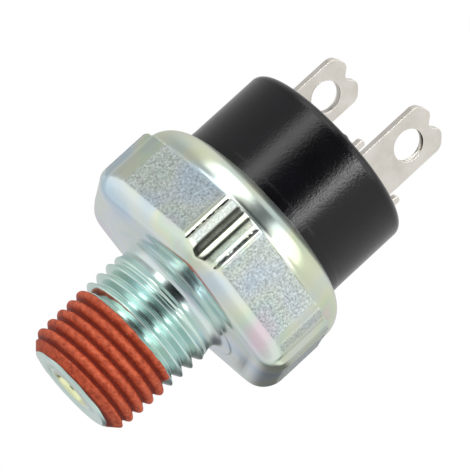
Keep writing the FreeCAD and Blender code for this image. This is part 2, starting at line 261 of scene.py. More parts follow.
FRONT = -38.0  # azimuth of the photograph's near side, degrees from +X
HEX_TURN = -13.0  # degrees between +X and the nearest flat's normal
FACET_ANGLE = 15.0  # degrees between a corner and the facets beside it
THREAD_TURN = 68.0  # degrees by which the groove starts ahead of +X
BEVEL_ANGLE = 43.0  # degrees by which the bevel under the flats rises
TURN_RISE = 0.9  # millimetres over which the cup's side turns under
TURN_REACH = 1.7  # millimetres by which it draws in there
TAPER = 1 / 32  # radius gained per height on the taper thread
CHAMFER_SLOPE = 1.06  # radius gained per height on the end's chamfer
STRIP_HALF, STRIP_DEPTH = 0.78, 0.17  # shallow V in the strip on a corner
FINE_ACROSS, FINE_WIDTH, FINE_DEPTH = 2.16, 0.15, 0.10  # fine groove beside each facet
RIDGE_ACROSS, RIDGE_WIDTH, RIDGE_HEIGHT = 2.8, 0.3, 0.03
FACET_START, FACET_END = 0.85, 1.85  # grained part of a facet, across from the corner
UNDER_RADIUS, UNDER_SLOPE, STEP_RISE = 9.6, 0.035, 0.04  # underside: outer part, first slope, fine step
TOP_ROUND = 0.22  # radius of the flats' upper edge


def base_azimuths():
    """Azimuths of the base's columns: close together on the corners, wider apart on the flats."""
    sector = np.concatenate((np.arange(-12, 12, 0.75), np.arange(12, 48, 2.0)))
    turns = np.concatenate([sector + 60 * k for k in range(SECTORS)])
    return np.radians(turns + HEX_TURN + 30)


def from_corner(azimuth):
    """Angle from the nearest corner of the hexagon, between -30 and 30 degrees, in radians."""
    degrees = np.degrees(azimuth) - HEX_TURN - 30
    return np.radians((degrees + 30) % 60 - 30)


def groove_share(azimuth, mm):
    """1 in the middle of the fine groove beside each corner, falling off as exp(-(distance / width)^2)."""
    across = np.abs(mm.corner * np.tan(from_corner(azimuth)))
    return np.exp(-((across - FINE_ACROSS) / FINE_WIDTH) ** 2)


def hexagon_radius(azimuth, flat, mm):
    """Polar radius of the hexagon: the least of the flat's plane, the facet's plane and the corner's strip,
    each its distance over the cosine of the angle to its normal. The strip is a shallow V, and a fine groove
    and a low ridge follow the outer edge of each facet."""
    angle = from_corner(azimuth)
    beside = math.radians(30) - np.abs(angle)
    plane = flat / np.cos(beside)
    facet = mm.facet / np.cos(math.radians(FACET_ANGLE) - np.abs(angle))
    across = np.abs(mm.corner * np.tan(angle))
    strip = mm.corner / np.cos(angle) - STRIP_DEPTH * np.clip(1 - across / STRIP_HALF, 0, 1)
    outline = soft_min(soft_min(plane, facet, 0.03), strip, 0.02)
    ridge = np.exp(-((across - RIDGE_ACROSS) / RIDGE_WIDTH) ** 2)
    return outline - FINE_DEPTH * groove_share(azimuth, mm) + RIDGE_HEIGHT * ridge


def thread_phase(azimuth, height, mm):
    """Height over pitch less azimuth over a turn: whole numbers are the roots of the helix."""
    return height / mm.pitch - (azimuth + math.radians(THREAD_TURN)) / TAU


def thread_radius(azimuth, height, mm):
    """Crest radius, which grows along the axis, less a V groove with rounded root and crest that follows the
    helix and fades out at the run-out."""
    crest = mm.crest + height * TAPER
    from_root = np.abs((thread_phase(azimuth, height, mm) + 0.5) % 1.0 - 0.5) * mm.pitch
    mouth, root = (mm.pitch - mm.crest_flat) / 2, mm.root_flat / 2
    flank = crest - mm.depth * (mouth - from_root) / (mouth - root)
    floor = crest - mm.depth
    groove = -soft_min(-flank, -floor, 0.05)
    shape = soft_min(groove, crest, 0.05)
    fade = smooth_step(height, mm.thread_length - 0.4, mm.thread_length + mm.runout)
    return shape + (crest - 0.03 - shape) * fade


def stem_radius(azimuth, height, mm):
    """Radius of the threaded stem with its chamfered end and its blend to the neck."""
    chamfer = mm.end_radius + 0.05 + height * CHAMFER_SLOPE
    neck = smooth_step(height, mm.thread_length + 0.5, mm.thread_length + mm.runout + 0.1)
    threaded = thread_radius(azimuth, height, mm)
    return soft_min(threaded * (1 - neck) + mm.neck * neck, chamfer, 0.06)


def dome_circle(mm):
    """Centre radius and arc radius of the dome, whose arc starts upright at the dome's radius and ends at the
    crimped lip: the arc radius is (across^2 + rise^2) / (2 across)."""
    across, rise = mm.dome - mm.lip, mm.lip_top - mm.dome_start
    radius = (across ** 2 + rise ** 2) / (2 * across)
    return mm.dome - radius, radius


def cup_radius(azimuth, height, mm):
    """Radius of the cup below the shoulder: the smooth least of the hexagon and of the planes that bevel its
    flats, whose corners are rounded off, less a reach times 1 - (1 - drop^3)^(1/3) that turns under at the
    bottom, where the drop goes from 0 to 1."""
    slope = math.tan(math.radians(BEVEL_ANGLE))
    flat = mm.flats / 2
    bevel_plane = flat - (mm.pad_bottom - height) / slope
    beside = math.radians(30) - np.abs(from_corner(azimuth))
    bevel = soft_min(bevel_plane / np.cos(beside), bevel_plane * 1.135, 0.18)
    hexagon = hexagon_radius(azimuth, flat, mm)
    drop = np.clip((mm.bottom + TURN_RISE - height) / TURN_RISE, 0, 1)
    return soft_min(hexagon, bevel, 0.34) - TURN_REACH * (1 - np.cbrt(1 - drop ** 3))


def base_shell(mm):
    """Shell, grain, painted groove shade and straw film of the base, by rings from the port's mouth round the
    outside and back inside."""
    azimuth = base_azimuths()
    rows = []

    def ring(radius, height, grain=0.0, painted_groove_shade=0.0, straw=0.0):
        rows.append(np.stack([value + 0 * azimuth for value in (radius, height, grain, painted_groove_shade, straw)]))

    def rings(pairs):
        for radius, height in pairs:
            ring(radius, height)

    mouth = mm.port + mm.countersink
    for radius, height in ((mm.port + 0.01, 0.6), (mouth - 0.02, 0.12), (mouth + 0.03, 0.07), (2.9, 0.05),
                           (3.05, 0.04), (3.12, 0.0), (4.4, 0.0), (mm.end_radius - 0.25, 0.0)):
        ring(radius, height, straw=1.0 if radius < 2.5 else 0.0)
    rings(arc((mm.end_radius - 0.15, 0.2), 0.2, 270, 315, 5))

    for height in np.arange(0.12, mm.thread_length + mm.runout + 0.05, mm.pitch / 18):
        ring(stem_radius(azimuth, height, mm), height)

    flare_z = mm.underside - mm.flare
    ring(mm.neck, (mm.thread_length + mm.runout + flare_z) / 2)
    rings(arc((mm.neck + mm.flare, flare_z), mm.flare, 180, 90, 10))
    span = mm.bevel - mm.neck - mm.flare
    rise = mm.bottom - mm.underside

    def low(radius):
        out = radius - mm.neck - mm.flare
        return mm.underside + UNDER_SLOPE * out + (rise - UNDER_SLOPE * span) * (out / span) ** 2

    step = mm.ring
    for radius, lift in ((step - 0.35, 0), (step - 0.12, 0), (step - 0.05, 0.01), (step + 0.05, 0.05),
                         (step + 0.12, 0.06), (step + 0.3, 0.06), (UNDER_RADIUS, STEP_RISE)):
        ring(radius, low(radius) + lift)
    edge = cup_radius(azimuth, mm.bottom, mm)
    for share in (0.2, 0.4, 0.6, 0.8, 0.93):
        ring(UNDER_RADIUS + (edge - UNDER_RADIUS) * share,
             low(UNDER_RADIUS + (mm.bevel - UNDER_RADIUS) * share) + STEP_RISE * (1 - share))

    turning = mm.bottom + TURN_RISE * (1 - np.cos(np.radians(np.linspace(6, 84, 14))))
    heights = np.concatenate((turning, np.linspace(mm.bottom + TURN_RISE, 18.2, 30),
                              np.linspace(18.6, mm.hex_top - 0.6, 8)))
    pad_across = mm.flats / 2 * np.tan(np.radians(30) - np.abs(from_corner(azimuth)))
    strip_across = np.abs(mm.corner * np.tan(from_corner(azimuth)))
    on_pad = 1 - smooth_step(pad_across, mm.pad_half - 0.08, mm.pad_half + 0.08)
    on_facet = (smooth_step(strip_across, FACET_START, FACET_START + 0.15)
                * (1 - smooth_step(strip_across, FACET_END, FACET_END + 0.15)))
    on_facet = on_facet * np.where(from_corner(azimuth) < 0, 0.8, 0.12)
    # Painted shade in the fine grooves: full within 30 degrees of the near side, a quarter of it beyond 40, and only
    # above the flats' lower edge.
    near = np.abs((np.degrees(azimuth) - FRONT + 180) % 360 - 180)
    painted_groove_shade = groove_share(azimuth, mm) * (1 - 0.75 * smooth_step(near, 30, 40))
    for height in heights:
        upright = smooth_step(height, mm.pad_bottom + 0.5, mm.pad_bottom + 0.7)
        ring(cup_radius(azimuth, height, mm), height, (on_pad + on_facet) * upright,
             painted_groove_shade * smooth_step(height, mm.pad_bottom - 0.1, mm.pad_bottom + 0.4))

    outer = cup_radius(azimuth, mm.hex_top - 0.6, mm)
    centre, size = dome_circle(mm)
    grain = on_pad + on_facet
    ring(outer, mm.hex_top - TOP_ROUND - 0.1, grain, painted_groove_shade)
    for angle in np.radians([0, 22.5, 45, 67.5, 90]):
        inset = TOP_ROUND * (1 - math.cos(angle))
        height = mm.hex_top - TOP_ROUND * (1 - math.sin(angle))
        ring(np.maximum(outer - inset, mm.dome), height, grain * (angle < 0.5))
    for share in (0.25, 0.9):
        ring(outer - TOP_ROUND + (mm.dome + 0.06 - outer + TOP_ROUND) * share, mm.hex_top + 0.02)
    last = math.degrees(math.asin((mm.lip_top - 0.02 - mm.dome_start) / size))
    ring(mm.dome, mm.hex_top + 0.1)
    dome = arc((centre, mm.dome_start), size, 0, last, 26)
    for angle, (radius, height) in zip(np.linspace(0, last, 26), dome):
        ring(radius, height, 0.8 * smooth_step(angle, 46, 60))
    rings(arc((mm.lip + 0.07, mm.lip_top - 0.07), 0.07, 45, 180, 5))
    rings(((mm.lip - 0.02, mm.lip_top - 0.8), (mm.cup_bore, 24.75), (mm.cup_bore, mm.ledge), (mm.chamber, mm.ledge),
           (mm.chamber, mm.chamber_low), (mm.port, mm.chamber_low), (mm.port, 10.0), (mm.port, 3.0), (mm.port, 0.75)))
    radius, height, grain, painted_groove_shade, straw = np.stack(rows, axis=1)
    return loop_shell(turned_points(radius, azimuth[None, :], height)), grain, painted_groove_shade, straw


# ---- shape of the sealant

def wander(azimuth, waves):
    """A closed uneven line: a sum of sines of whole waves round the axis, each with its size and phase."""
    return sum(size * np.sin(count * azimuth + phase) for count, size, phase in waves)


def sealant_shell(mm):
    """Coat on the first threads, and how deep it pools: 0 on the crests and 1 in the roots. Its radius is the
    crest line less a cosine wave of the helix, never less than the steel. It falls to nothing at two uneven
    edges and is closed by an inner side just under the steel."""
    columns, rows = 360, 170
    azimuth = np.arange(columns) * TAU / columns
    side = (np.degrees(azimuth) - FRONT + 180) % 360 - 180
    low = 0.16 - 0.1 * np.cos(np.radians(side - 210)) + wander(azimuth, ((5, 0.02, 1.0), (11, 0.02, 2.0)))
    drop = 0.95 * smooth_step(side, 58, 84) * (1 - smooth_step(side, 120, 178))
    high = 8.1 - drop + wander(azimuth, ((3, 0.05, 0.4), (7, 0.04, 1.3), (17, 0.03, 0.2), (31, 0.02, 2.2)))
    share = np.linspace(0, 1, rows)[:, None]
    height = low + (high - low) * share
    steel = stem_radius(azimuth, height, mm)
    pool = (1 + np.cos(TAU * thread_phase(azimuth, height, mm))) / 2
    uneven = wander(azimuth, ((9, 0.012, 0), (23, 0.012, 1))) * np.cos(3 * height)
    wave = mm.crest + height * TAPER + 0.03 - 0.66 * pool ** 1.45
    chamfer = mm.end_radius + 0.1 + height * CHAMFER_SLOPE
    full = soft_min(wave, chamfer, 0.1) + uneven
    edge = np.minimum(height - low, high - height)
    outer = steel + np.maximum(full - steel, 0.04) * np.sqrt(np.clip(edge / 0.15, 0.02, 1))
    outside = turned_points(outer, azimuth[None, :], height)
    inside = turned_points((steel - 0.15)[::-6], azimuth[None, :], height[::-6])
    depth = np.concatenate((pool, pool[::-6]))
    return loop_shell(np.concatenate((outside, inside))), depth


# ---- shape of the cap and its seal

def cap_shell(mm, terminals):
    """Cap: a profile turned about the axis. The top sinks by a smooth step inside a rectangle round each
    terminal, and a low nub stands near the rim."""
    low_edge = mm.radius - mm.edge
    top = [(r, mm.top) for r in np.linspace(mm.pocket + 0.12, low_edge - 0.02, 68)]
    profile = arc((mm.pocket + 0.12, mm.top - 0.12), 0.12, 180, 90, 4)[:-1] + top
    profile += arc((low_edge, mm.top - mm.edge), mm.edge, 88, 0, 12)
    wall = np.concatenate((np.linspace(mm.top - mm.edge - 0.3, 28.35, 10), [28.2, 28.12, 28.04, 27.9]))
    swell = 0.02
    profile += [(mm.radius + swell * (1 - smooth_step(z, 28.04, 28.2)), z) for z in wall]
    profile += [(mm.radius + swell, 27.2), (mm.radius, mm.neck_low), (mm.flange_radius, mm.flange_top),
                (mm.flange_radius, mm.flange_low), (mm.seat, mm.flange_low), (mm.seat, mm.seat_top),
                (mm.cavity, mm.seat_top), (mm.cavity, mm.roof), (mm.pocket + 0.6, mm.roof),
                (mm.pocket + 0.6, mm.roof + 0.6), (mm.pocket, mm.roof + 0.6), (mm.pocket, mm.top - 0.5)]
    grid = lathe(profile, 360)
    x, y, z = grid[..., 0], grid[..., 1], grid[..., 2]
    half_sheet = terminals.thickness / 2 + 0.16
    half_wide = terminals.width / 2 + terminals.ear_gap + terminals.ear_width + 0.16
    aside = np.abs(np.abs(x) - terminals.offset) - half_sheet
    along = np.abs(y) - half_wide
    within = np.maximum(aside, along)
    near_top = z > mm.top - mm.edge * 0.6
    sink = 0.45 * (1 - smooth_step(within, -0.06, 0.08)) * near_top
    angle = math.radians(FRONT)
    nub_x, nub_y = 10.1 * math.cos(angle), 10.1 * math.sin(angle)
    nub = 0.12 * np.exp(-(((x - nub_x) ** 2 + (y - nub_y) ** 2) / 0.35 ** 2) ** 2) * near_top
    grid[..., 2] = z - sink + nub
    return loop_shell(grid)


def seal_shell(mm):
    """Resin over the adjusting screw: a shallow dome with a raised meniscus at its edge, and a flat below."""
    radius = np.concatenate((np.linspace(0.05, mm.pocket - 0.25, 22),
                             np.linspace(mm.pocket - 0.2, mm.pocket + 0.18, 9)))
    share = radius / mm.pocket
    height = mm.top + mm.seal_rise * (1 - share ** 2) + 0.06 * np.exp(-((share - 0.93) / 0.06) ** 2)
    height = np.minimum(height, mm.top + mm.seal_rise)
    height[-1] = mm.top - 0.02
    profile = list(zip(radius, height))
    profile += [(mm.pocket - 0.02, mm.top - 0.1), (mm.pocket - 0.02, mm.seal_low), (0.3, mm.seal_low)]
    grid = lathe(profile, 120)
    azimuth = np.arctan2(grid[..., 1], grid[..., 0])
    uneven = 0.03 * np.sin(2 * azimuth + 0.7) + 0.02 * np.sin(3 * azimuth)
    on_top = grid[..., 2] > mm.top + 0.02
    grid[..., 2] += uneven * on_top * np.hypot(grid[..., 0], grid[..., 1]) / mm.pocket
    return capped_shell(grid)


# ---- shape of the terminals

def rounded_outline(mm):
    """The blade's outline, as across and height pairs: straight sides, sloping shoulders with a soft corner,
    and a round notch between two round bumps."""
    half, top = mm.width / 2, mm.tip
    across = np.linspace(-half, half, 161)
    inner = np.abs(across)
    bump = 1.5 + 0.12
    notch = 0.74 * (1 - smooth_step(inner, 0.0, 1.3))
    shoulder = 0.95 * np.clip((inner - bump) / (half - bump), 0, 1) ** 1.25
    side = 0.45 * np.clip((inner - half + 0.45) / 0.45, 0, 1) ** 2.5
    crown = 0.13 * (np.minimum(inner - bump, 0) / 0.8) ** 2 * (inner > 0.8) + 0.13 * (inner <= 0.8)
    height = top - notch - shoulder - side - crown * 0.4
    low = mm.shoulder
    edge = np.linspace(low, height[0], 24)[:-1]
    wide = np.concatenate((0 * edge - half, across, 0 * edge + half, np.linspace(half, -half, 13)[1:-1]))
    high = np.concatenate((edge, height, edge[::-1], np.full(11, low)))
    return np.stack((wide, high), axis=-1)


def inset_outline(outline, amount):
    """The outline moved inwards, each point along its two edges' mean normal by the amount over the cosine of
    half the turn."""
    ahead = np.roll(outline, -1, axis=0) - outline
    ahead /= np.linalg.norm(ahead, axis=1)[:, None] + 1e-12
    normal = np.stack((ahead[:, 1], -ahead[:, 0]), axis=-1)
    mean = normal + np.roll(normal, 1, axis=0)
    mean /= np.linalg.norm(mean, axis=1)[:, None] + 1e-12
    cosine = np.clip(np.einsum("ij,ij->i", mean, normal), 0.5, 1)
    return outline + mean * (amount / cosine)[:, None]


def reach(outline, centre, angles):
    """Distance from the centre to the outline in each direction: the nearest crossing of a ray and an edge."""
    start = outline - centre
    edge = np.roll(start, -1, axis=0) - start
    ray = np.stack((np.cos(angles), np.sin(angles)), axis=-1)[:, None, :]
    cross = ray[..., 0] * edge[:, 1] - ray[..., 1] * edge[:, 0]
    cross = np.where(np.abs(cross) < 1e-12, 1e-12, cross)
    along = (start[:, 0] * edge[:, 1] - start[:, 1] * edge[:, 0]) / cross
    share = (start[:, 0] * ray[..., 1] - start[:, 1] * ray[..., 0]) / cross
    hit = (along > 0) & (share >= -1e-9) & (share <= 1 + 1e-9)
    return np.where(hit, along, 1e9).min(axis=1)


def plate_shell(outline, centre, hole, thickness, edge, place):
    """A stamped plate: rows of points on rays from the centre run over one face from hole to outline, round the
    edge and back over the other face. place maps across, height and depth to XYZ."""
    start = outline - centre
    corners = np.arctan2(start[:, 1], start[:, 0])
    angles = np.unique(np.concatenate((corners, np.linspace(-math.pi, math.pi, 181)[:-1])).round(5))
    centre = np.array(centre)
    ray = np.stack((np.cos(angles), np.sin(angles)), axis=-1)
    half = thickness / 2
    turn = [(edge * (1 - math.cos(a)), half - edge * (1 - math.sin(a))) for a in np.radians([90, 67.5, 45, 22.5, 0])]
    held = reach(inset_outline(outline, edge * 1.8), centre, angles)
    middle = (hole + edge * 1.8, hole + edge * 4, (hole + held) / 2, held - edge * 2, held)
    outer = [(reach(inset_outline(outline, inset), centre, angles), depth) for inset, depth in turn]
    inner = [(hole + inset, depth) for inset, depth in reversed(turn)] if hole > 0 else []
    face = [(distance, half) for distance in middle] + outer
    rows = []
    for distance, depth in inner + face + [(distance, -depth) for distance, depth in face[::-1] + inner]:
        flat = centre + ray * np.broadcast_to(distance, angles.shape)[:, None]
        rows.append(place(flat[:, 0], flat[:, 1], depth + 0 * angles))
    grid = np.array(rows)
    return loop_shell(grid) if hole > 0 else capped_shell(grid)


def ear_outline(mm, side):
    """Outline and centre of one ear, an upright strip with a round top, from the hidden shoulder up."""
    middle = side * (mm.width / 2 + mm.ear_gap + mm.ear_width / 2)
    radius = mm.ear_width / 2
    angle = np.linspace(0, math.pi, 25)
    round_top = np.stack((middle + radius * np.cos(angle), mm.ear_top - radius + radius * np.sin(angle)), axis=-1)
    base = np.array([(middle - radius, mm.shoulder), (middle + radius, mm.shoulder)])
    return np.concatenate((round_top, base))[::-1], (middle, (mm.ear_top + mm.shoulder) / 2)


def leg_shell(mm, side):
    """The hidden leg and foot: a rounded strip section carried down, round the bend and in along the base."""
    outer = mm.bend + mm.thickness
    middle = mm.bend + mm.thickness / 2
    centre = (mm.offset + mm.thickness / 2 - outer, mm.foot + outer)
    path = [(mm.offset, z, 0.0) for z in np.linspace(mm.shoulder + 0.3, centre[1], 8)]
    for angle in np.radians(np.linspace(0, -90, 9)):
        path.append((centre[0] + middle * math.cos(angle), centre[1] + middle * math.sin(angle), angle))
    path += [(x, mm.foot + mm.thickness / 2, -math.pi / 2) for x in np.linspace(centre[0] - 0.2, mm.foot_end, 6)]
    x, z, angle = (np.array(v)[:, None] for v in zip(*path))
    turn = np.linspace(0, TAU, 48, endpoint=False)
    wide, deep = (np.sign(v) * np.abs(v) ** 0.12 * size / 2
                  for v, size in ((np.cos(turn), mm.width), (np.sin(turn), mm.thickness)))
    grid = np.stack((x + deep * np.cos(angle), wide + 0 * x, z + deep * np.sin(angle)), axis=-1)
    return capped_shell(grid * np.array((side, side, 1.0)))


def terminal_shells(mm, side):
    """Blade, two ears and leg of the terminal on one side of the axis."""
    def place(across, height, depth):
        return np.stack((side * (mm.offset + depth), across * side, height), axis=-1)

    blade = plate_shell(rounded_outline(mm), (0.0, mm.hole_height), mm.hole, mm.thickness, 0.06, place)
    ears = [plate_shell(*ear_outline(mm, ear), 0.0, mm.thickness, 0.09, place) for ear in (-1, 1)]
    return [blade, *ears, leg_shell(mm, side)]


# ---- materials

def add(tree, kind, inputs=None, **settings):
    """A new shader node with its settings. Each input, by name or place, is set to a value, or linked from a
    socket or from a node's first enabled output."""
    node = tree.nodes.new("ShaderNode" + kind)
    for name, value in settings.items():
        setattr(node, name, value)
    for key, value in (inputs or {}).items():
        socket = node.inputs[key] if isinstance(key, int) else next(
            s for s in node.inputs if s.name == key and s.enabled)
        if isinstance(value, bpy.types.Node):
            value = next(s for s in value.outputs if s.enabled)
        if isinstance(value, bpy.types.NodeSocket):
            tree.links.new(value, socket)
        else:
            socket.default_value = value
    return node


def per(size):
    """Texture scale whose features are about a size in millimetres."""
    return 1 / (size * MM)


def empty_material(name):
    """A material without nodes, and the function that adds a node to it."""
    material = bpy.data.materials.new(name)
    material.use_nodes = True
    material.node_tree.nodes.clear()
    return material, partial(add, material.node_tree)


def finish(name, recipe, *values):
    """A finish's material. The recipe takes what adds a node, the object coordinates and the values, and
    returns the shader's inputs."""
    material, node = empty_material(name)
    shader = node("BsdfPrincipled", recipe(node, node("TexCoord").outputs["Object"], *values))
    node("OutputMaterial", {"Surface": shader})
    return material


def clouded(node, place, size, first, second):
    """A colour that wanders between two, in clouds of a size in millimetres."""
    clouds = node("TexNoise", {"Vector": place, "Scale": per(size), "Detail": 3.0})
    share = node("MapRange", {"Value": clouds, "From Min": 0.35, "From Max": 0.65})
    return node("Mix", {"Factor": share, "A": first, "B": second}, data_type="RGBA")


# Clouds of the passivation film: place along the noise and colour.
FILM = ((0.28, "#b0d3e6"), (0.42, "#dde8eb"), (0.52, "#e8eac4"), (0.60, "#c2e5d2"), (0.72, "#eecadb"))


def bright_zinc_plate(node, place, colour):
    """Pressed steel, zinc plated and clear passivated: bright bluish metal with faint straw, pink and green
    clouds from the film, mirror-like where turned and drawn, grained where the press coined it."""
    clouds = node("TexNoise", {"Vector": place, "Scale": per(6.5), "Detail": 1.0})
    ramp = node("ValToRGB", {"Fac": clouds})
    ramp.color_ramp.interpolation = "B_SPLINE"
    elements = ramp.color_ramp.elements
    while len(elements) < len(FILM):
        elements.new(0.5)
    for element, (position, hue) in zip(elements, FILM):
        element.position, element.color = position, linear(hue)
    film = node("Mix", {"Factor": 0.2, "A": ramp, "B": colour}, data_type="RGBA")

    # Tints by height, in the port's mouth and on the grain: guide, its range, share and colour.
    level = node("SeparateXYZ", {"Vector": place}).outputs["Z"]
    # The grain, the straw film and the painted shade in the fine grooves come from the mesh's attributes.
    grain, straw, painted_groove_shade = (node("Attribute", attribute_name=name).outputs["Fac"]
                          for name in ("grain", "straw", "painted_groove_shade"))
    for guide, start, end, share, hue in ((level, 16.0 * MM, 15.3 * MM, 0.4, "#c4d2ea"),
                                          (level, 14.6 * MM, 13.2 * MM, 0.7, "#cdeadf"),
                                          (level, 23.3 * MM, 24.2 * MM, 0.3, "#e6ecb4"),
                                          (straw, 0.0, 1.0, 0.8, "#f2f2b8"), (grain, 0.0, 1.0, 0.45, "#cdd9e2")):
        fade = node("MapRange", {"Value": guide, "From Min": start, "From Max": end, "To Max": share})
        film = node("Mix", {"Factor": fade, "A": film, "B": linear(hue)}, data_type="RGBA")

    # The coined grain: speckled, duller and pitted.
    grit = node("TexNoise", {"Vector": place, "Scale": per(0.24), "Detail": 3.0, "Roughness": 0.7})
    speckle = node("MapRange", {"Value": grit, "From Min": 0.34, "From Max": 0.66, "To Min": 0.46, "To Max": 0.99})
    dull = node("Mix", {"Factor": grain, "A": 1.0, "B": speckle})
    shade = node("Mix", {"Factor": 1.0, "A": film, "B": dull}, data_type="RGBA", blend_type="MULTIPLY")
    handling = node("TexNoise", {"Vector": place, "Scale": per(1.6), "Detail": 3.0})
    smooth = node("MapRange", {"Value": handling, "To Min": 0.18, "To Max": 0.26})
    rough = node("Mix", {"Factor": grain, "A": smooth, "B": 0.42})
    depth = node("Math", {0: grit, 1: grain}, operation="MULTIPLY")
    pitted = node("Bump", {"Height": depth, "Distance": 0.035 * MM})
    waves = node("TexNoise", {"Vector": place, "Scale": per(0.9)})
    normal = node("Bump", {"Height": waves, "Distance": 0.003 * MM, "Strength": 0.4, "Normal": pitted})

    # Painted shade in the fine grooves: a ragged dark colour, strongest on the near side.
    patches = node("TexNoise", {"Vector": place, "Scale": per(0.3)})
    ragged = node("Math", {0: painted_groove_shade, 1: patches}, operation="MULTIPLY")
    painted_shade = node("MapRange", {"Value": ragged, "From Min": 0.18, "From Max": 0.34})
    shade = node("Mix", {"Factor": painted_shade, "A": shade, "B": linear("#202024")}, data_type="RGBA")
    return {"Base Color": shade, "Metallic": 1.0, "Roughness": rough, "Normal": normal}


def red_thread_sealant(node, place, colour):
    """Anaerobic thread sealant, applied wet and dried: matt brick-red film, mottled, with pale filler specks, darker
    in the roots partly from the deeper coat and partly as painted shade.
    """
    mottle = node("TexNoise", {"Vector": place, "Scale": per(0.6), "Detail": 5.0, "Roughness": 0.7})
    pool = node("Attribute", attribute_name="pool").outputs["Fac"]
    cells = node("TexVoronoi", {"Vector": place, "Scale": per(0.9)}).outputs["Distance"]
    mottling = node("MapRange", {"Value": mottle, "From Min": 0.3, "From Max": 0.62})
    # Darker red where the coat pools in the roots: partly the deeper coat, partly painted shade in the roots.
    pooled_and_shaded = node("MapRange", {"Value": pool, "From Min": 0.5, "To Max": 0.92})
    specks = node("MapRange", {"Value": cells, "From Min": 0.06, "From Max": 0.12, "To Min": 0.7, "To Max": 0.0})
    base = linear("#9c3419")
    for share, hue in ((mottling, colour), (pooled_and_shaded, linear("#6a0e01")), (specks, linear("#d59a86"))):
        base = node("Mix", {"Factor": share, "A": base, "B": hue}, data_type="RGBA")
    fine = node("TexNoise", {"Vector": place, "Scale": per(0.18), "Detail": 3.0})
    rough = node("MapRange", {"Value": fine, "To Min": 0.5, "To Max": 0.68})
    lumps = node("Bump", {"Height": mottle, "Distance": 0.08 * MM, "Strength": 0.6})
    normal = node("Bump", {"Height": fine, "Distance": 0.02 * MM, "Strength": 0.7, "Normal": lumps})
    return {"Base Color": base, "Roughness": rough, "Normal": normal, "IOR": 1.42}


def black_phenolic(node, place, colour):
    """Compression-moulded phenolic: near-black, satin, with the mould's fine spark grain and faint scuffs."""
    base = clouded(node, place, 3.5, colour, linear("#0f0f13"))
    grain = node("TexNoise", {"Vector": place, "Scale": per(0.22), "Detail": 3.0, "Roughness": 0.6})
    scuffs = node("TexNoise", {"Vector": place, "Scale": per(1.2), "Detail": 3.0})
    rough = node("MapRange", {"Value": scuffs, "To Min": 0.12, "To Max": 0.18})
    normal = node("Bump", {"Height": grain, "Distance": 0.025 * MM, "Strength": 0.9})
    return {"Base Color": base, "Roughness": rough, "Normal": normal, "IOR": 1.46}


def tinned_brass(node, place, colour):
    """Stamped brass strip with bright tin plate: warm pale grey, soft gloss, faint rolling lines along it."""
    base = clouded(node, place, 2.4, colour, linear("#e6e0d6"))
    lines = node("Mapping", {"Vector": place, "Scale": (1.0, 1.0, 0.06)})
    rolled = node("TexNoise", {"Vector": lines, "Scale": per(0.16)})
    rough = node("MapRange", {"Value": rolled, "To Min": 0.28, "To Max": 0.36})
    normal = node("Bump", {"Height": rolled, "Distance": 0.003 * MM, "Strength": 0.5})
    return {"Base Color": base, "Metallic": 1.0, "Roughness": rough, "Normal": normal}


def plain(node, place, dark, light, metallic, roughness, cloud, grain, relief):
    """A plain finish: two close colours in clouds of one size, and a relief of another."""
    base = clouded(node, place, cloud, linear(dark), linear(light))
    fine = node("TexNoise", {"Vector": place, "Scale": per(grain)})
    rough = node("MapRange", {"Value": fine, "To Min": roughness - 0.05, "To Max": roughness + 0.07})
    normal = node("Bump", {"Height": fine, "Distance": relief * MM, "Strength": 0.6})
    return {"Base Color": base, "Metallic": metallic, "Roughness": rough, "Normal": normal}


# Finishes of the inner nodes: two colours, metallic, roughness, cloud, grain and relief, and the nodes.
INNER_FINISHES = {
    "black_nitrile_rubber": (("#161616", "#202020", 0.0, 0.7, 2.0, 0.3, 0.02), "diaphragm_gasket cap_seal"),
    "amber_polyimide_film": (("#a8661c", "#c07a26", 0.0, 0.25, 4.0, 0.8, 0.004), "diaphragm"),
    "cold_rolled_steel": (("#8d9093", "#a2a5a8", 1.0, 0.32, 2.0, 0.15, 0.004), "support_plate"),
    "grey_glass_nylon": (("#6b6d6f", "#7b7d80", 0.0, 0.5, 2.5, 0.25, 0.01), "contact_base"),
    "fine_silver": (("#d8d6d0", "#e8e6e2", 1.0, 0.25, 1.0, 0.12, 0.003),
                    "right_fixed_contact left_fixed_contact right_moving_contact left_moving_contact"),
    "turned_brass": (("#b08a3e", "#c9a251", 1.0, 0.28, 1.5, 0.1, 0.004),
                     "terminal_rivets spring_seat screw_insert adjusting_screw"),
    "white_acetal": (("#dcdad2", "#e8e6df", 0.0, 0.4, 2.0, 0.3, 0.006), "plunger"),
    "beryllium_copper_strip": (("#a8623c", "#c07a4e", 1.0, 0.27, 2.0, 0.15, 0.003), "contact_bridge"),
    "spring_steel_wire": (("#74767a", "#8b8d91", 1.0, 0.25, 1.0, 0.1, 0.003), "contact_spring"),
}


# ---- operators

class SENDER_OT_base(bpy.types.Operator):
    """Make the plated steel base with its thread"""
    bl_idname = "sender.base"
    bl_label = "Plated Base"

    def execute(self, context):
        shell, grain, painted_groove_shade, straw = base_shell(millimetres(context.scene.sender_base))
        zinc = finish("bright_zinc_plate", bright_zinc_plate, context.scene.sender_finish.zinc)
        # The base carries its grain, the painted shade of its fine grooves and its straw film as attributes.
        new_piece("plated_base", [shell], zinc, BODY, ["steel_base"],
                  {"grain": grain, "painted_groove_shade": painted_groove_shade, "straw": straw})
        return {"FINISHED"}


class SENDER_OT_sealant(bpy.types.Operator):
    """Make the red sealant on the first threads"""
    bl_idname = "sender.sealant"
    bl_label = "Thread Sealant"

    def execute(self, context):
        shell, pool = sealant_shell(millimetres(context.scene.sender_base))
        red = finish("red_thread_sealant", red_thread_sealant, context.scene.sender_finish.sealant)
        new_piece("sealant_coat", [shell], red, BODY, ["thread_sealant"], {"pool": pool})
        return {"FINISHED"}


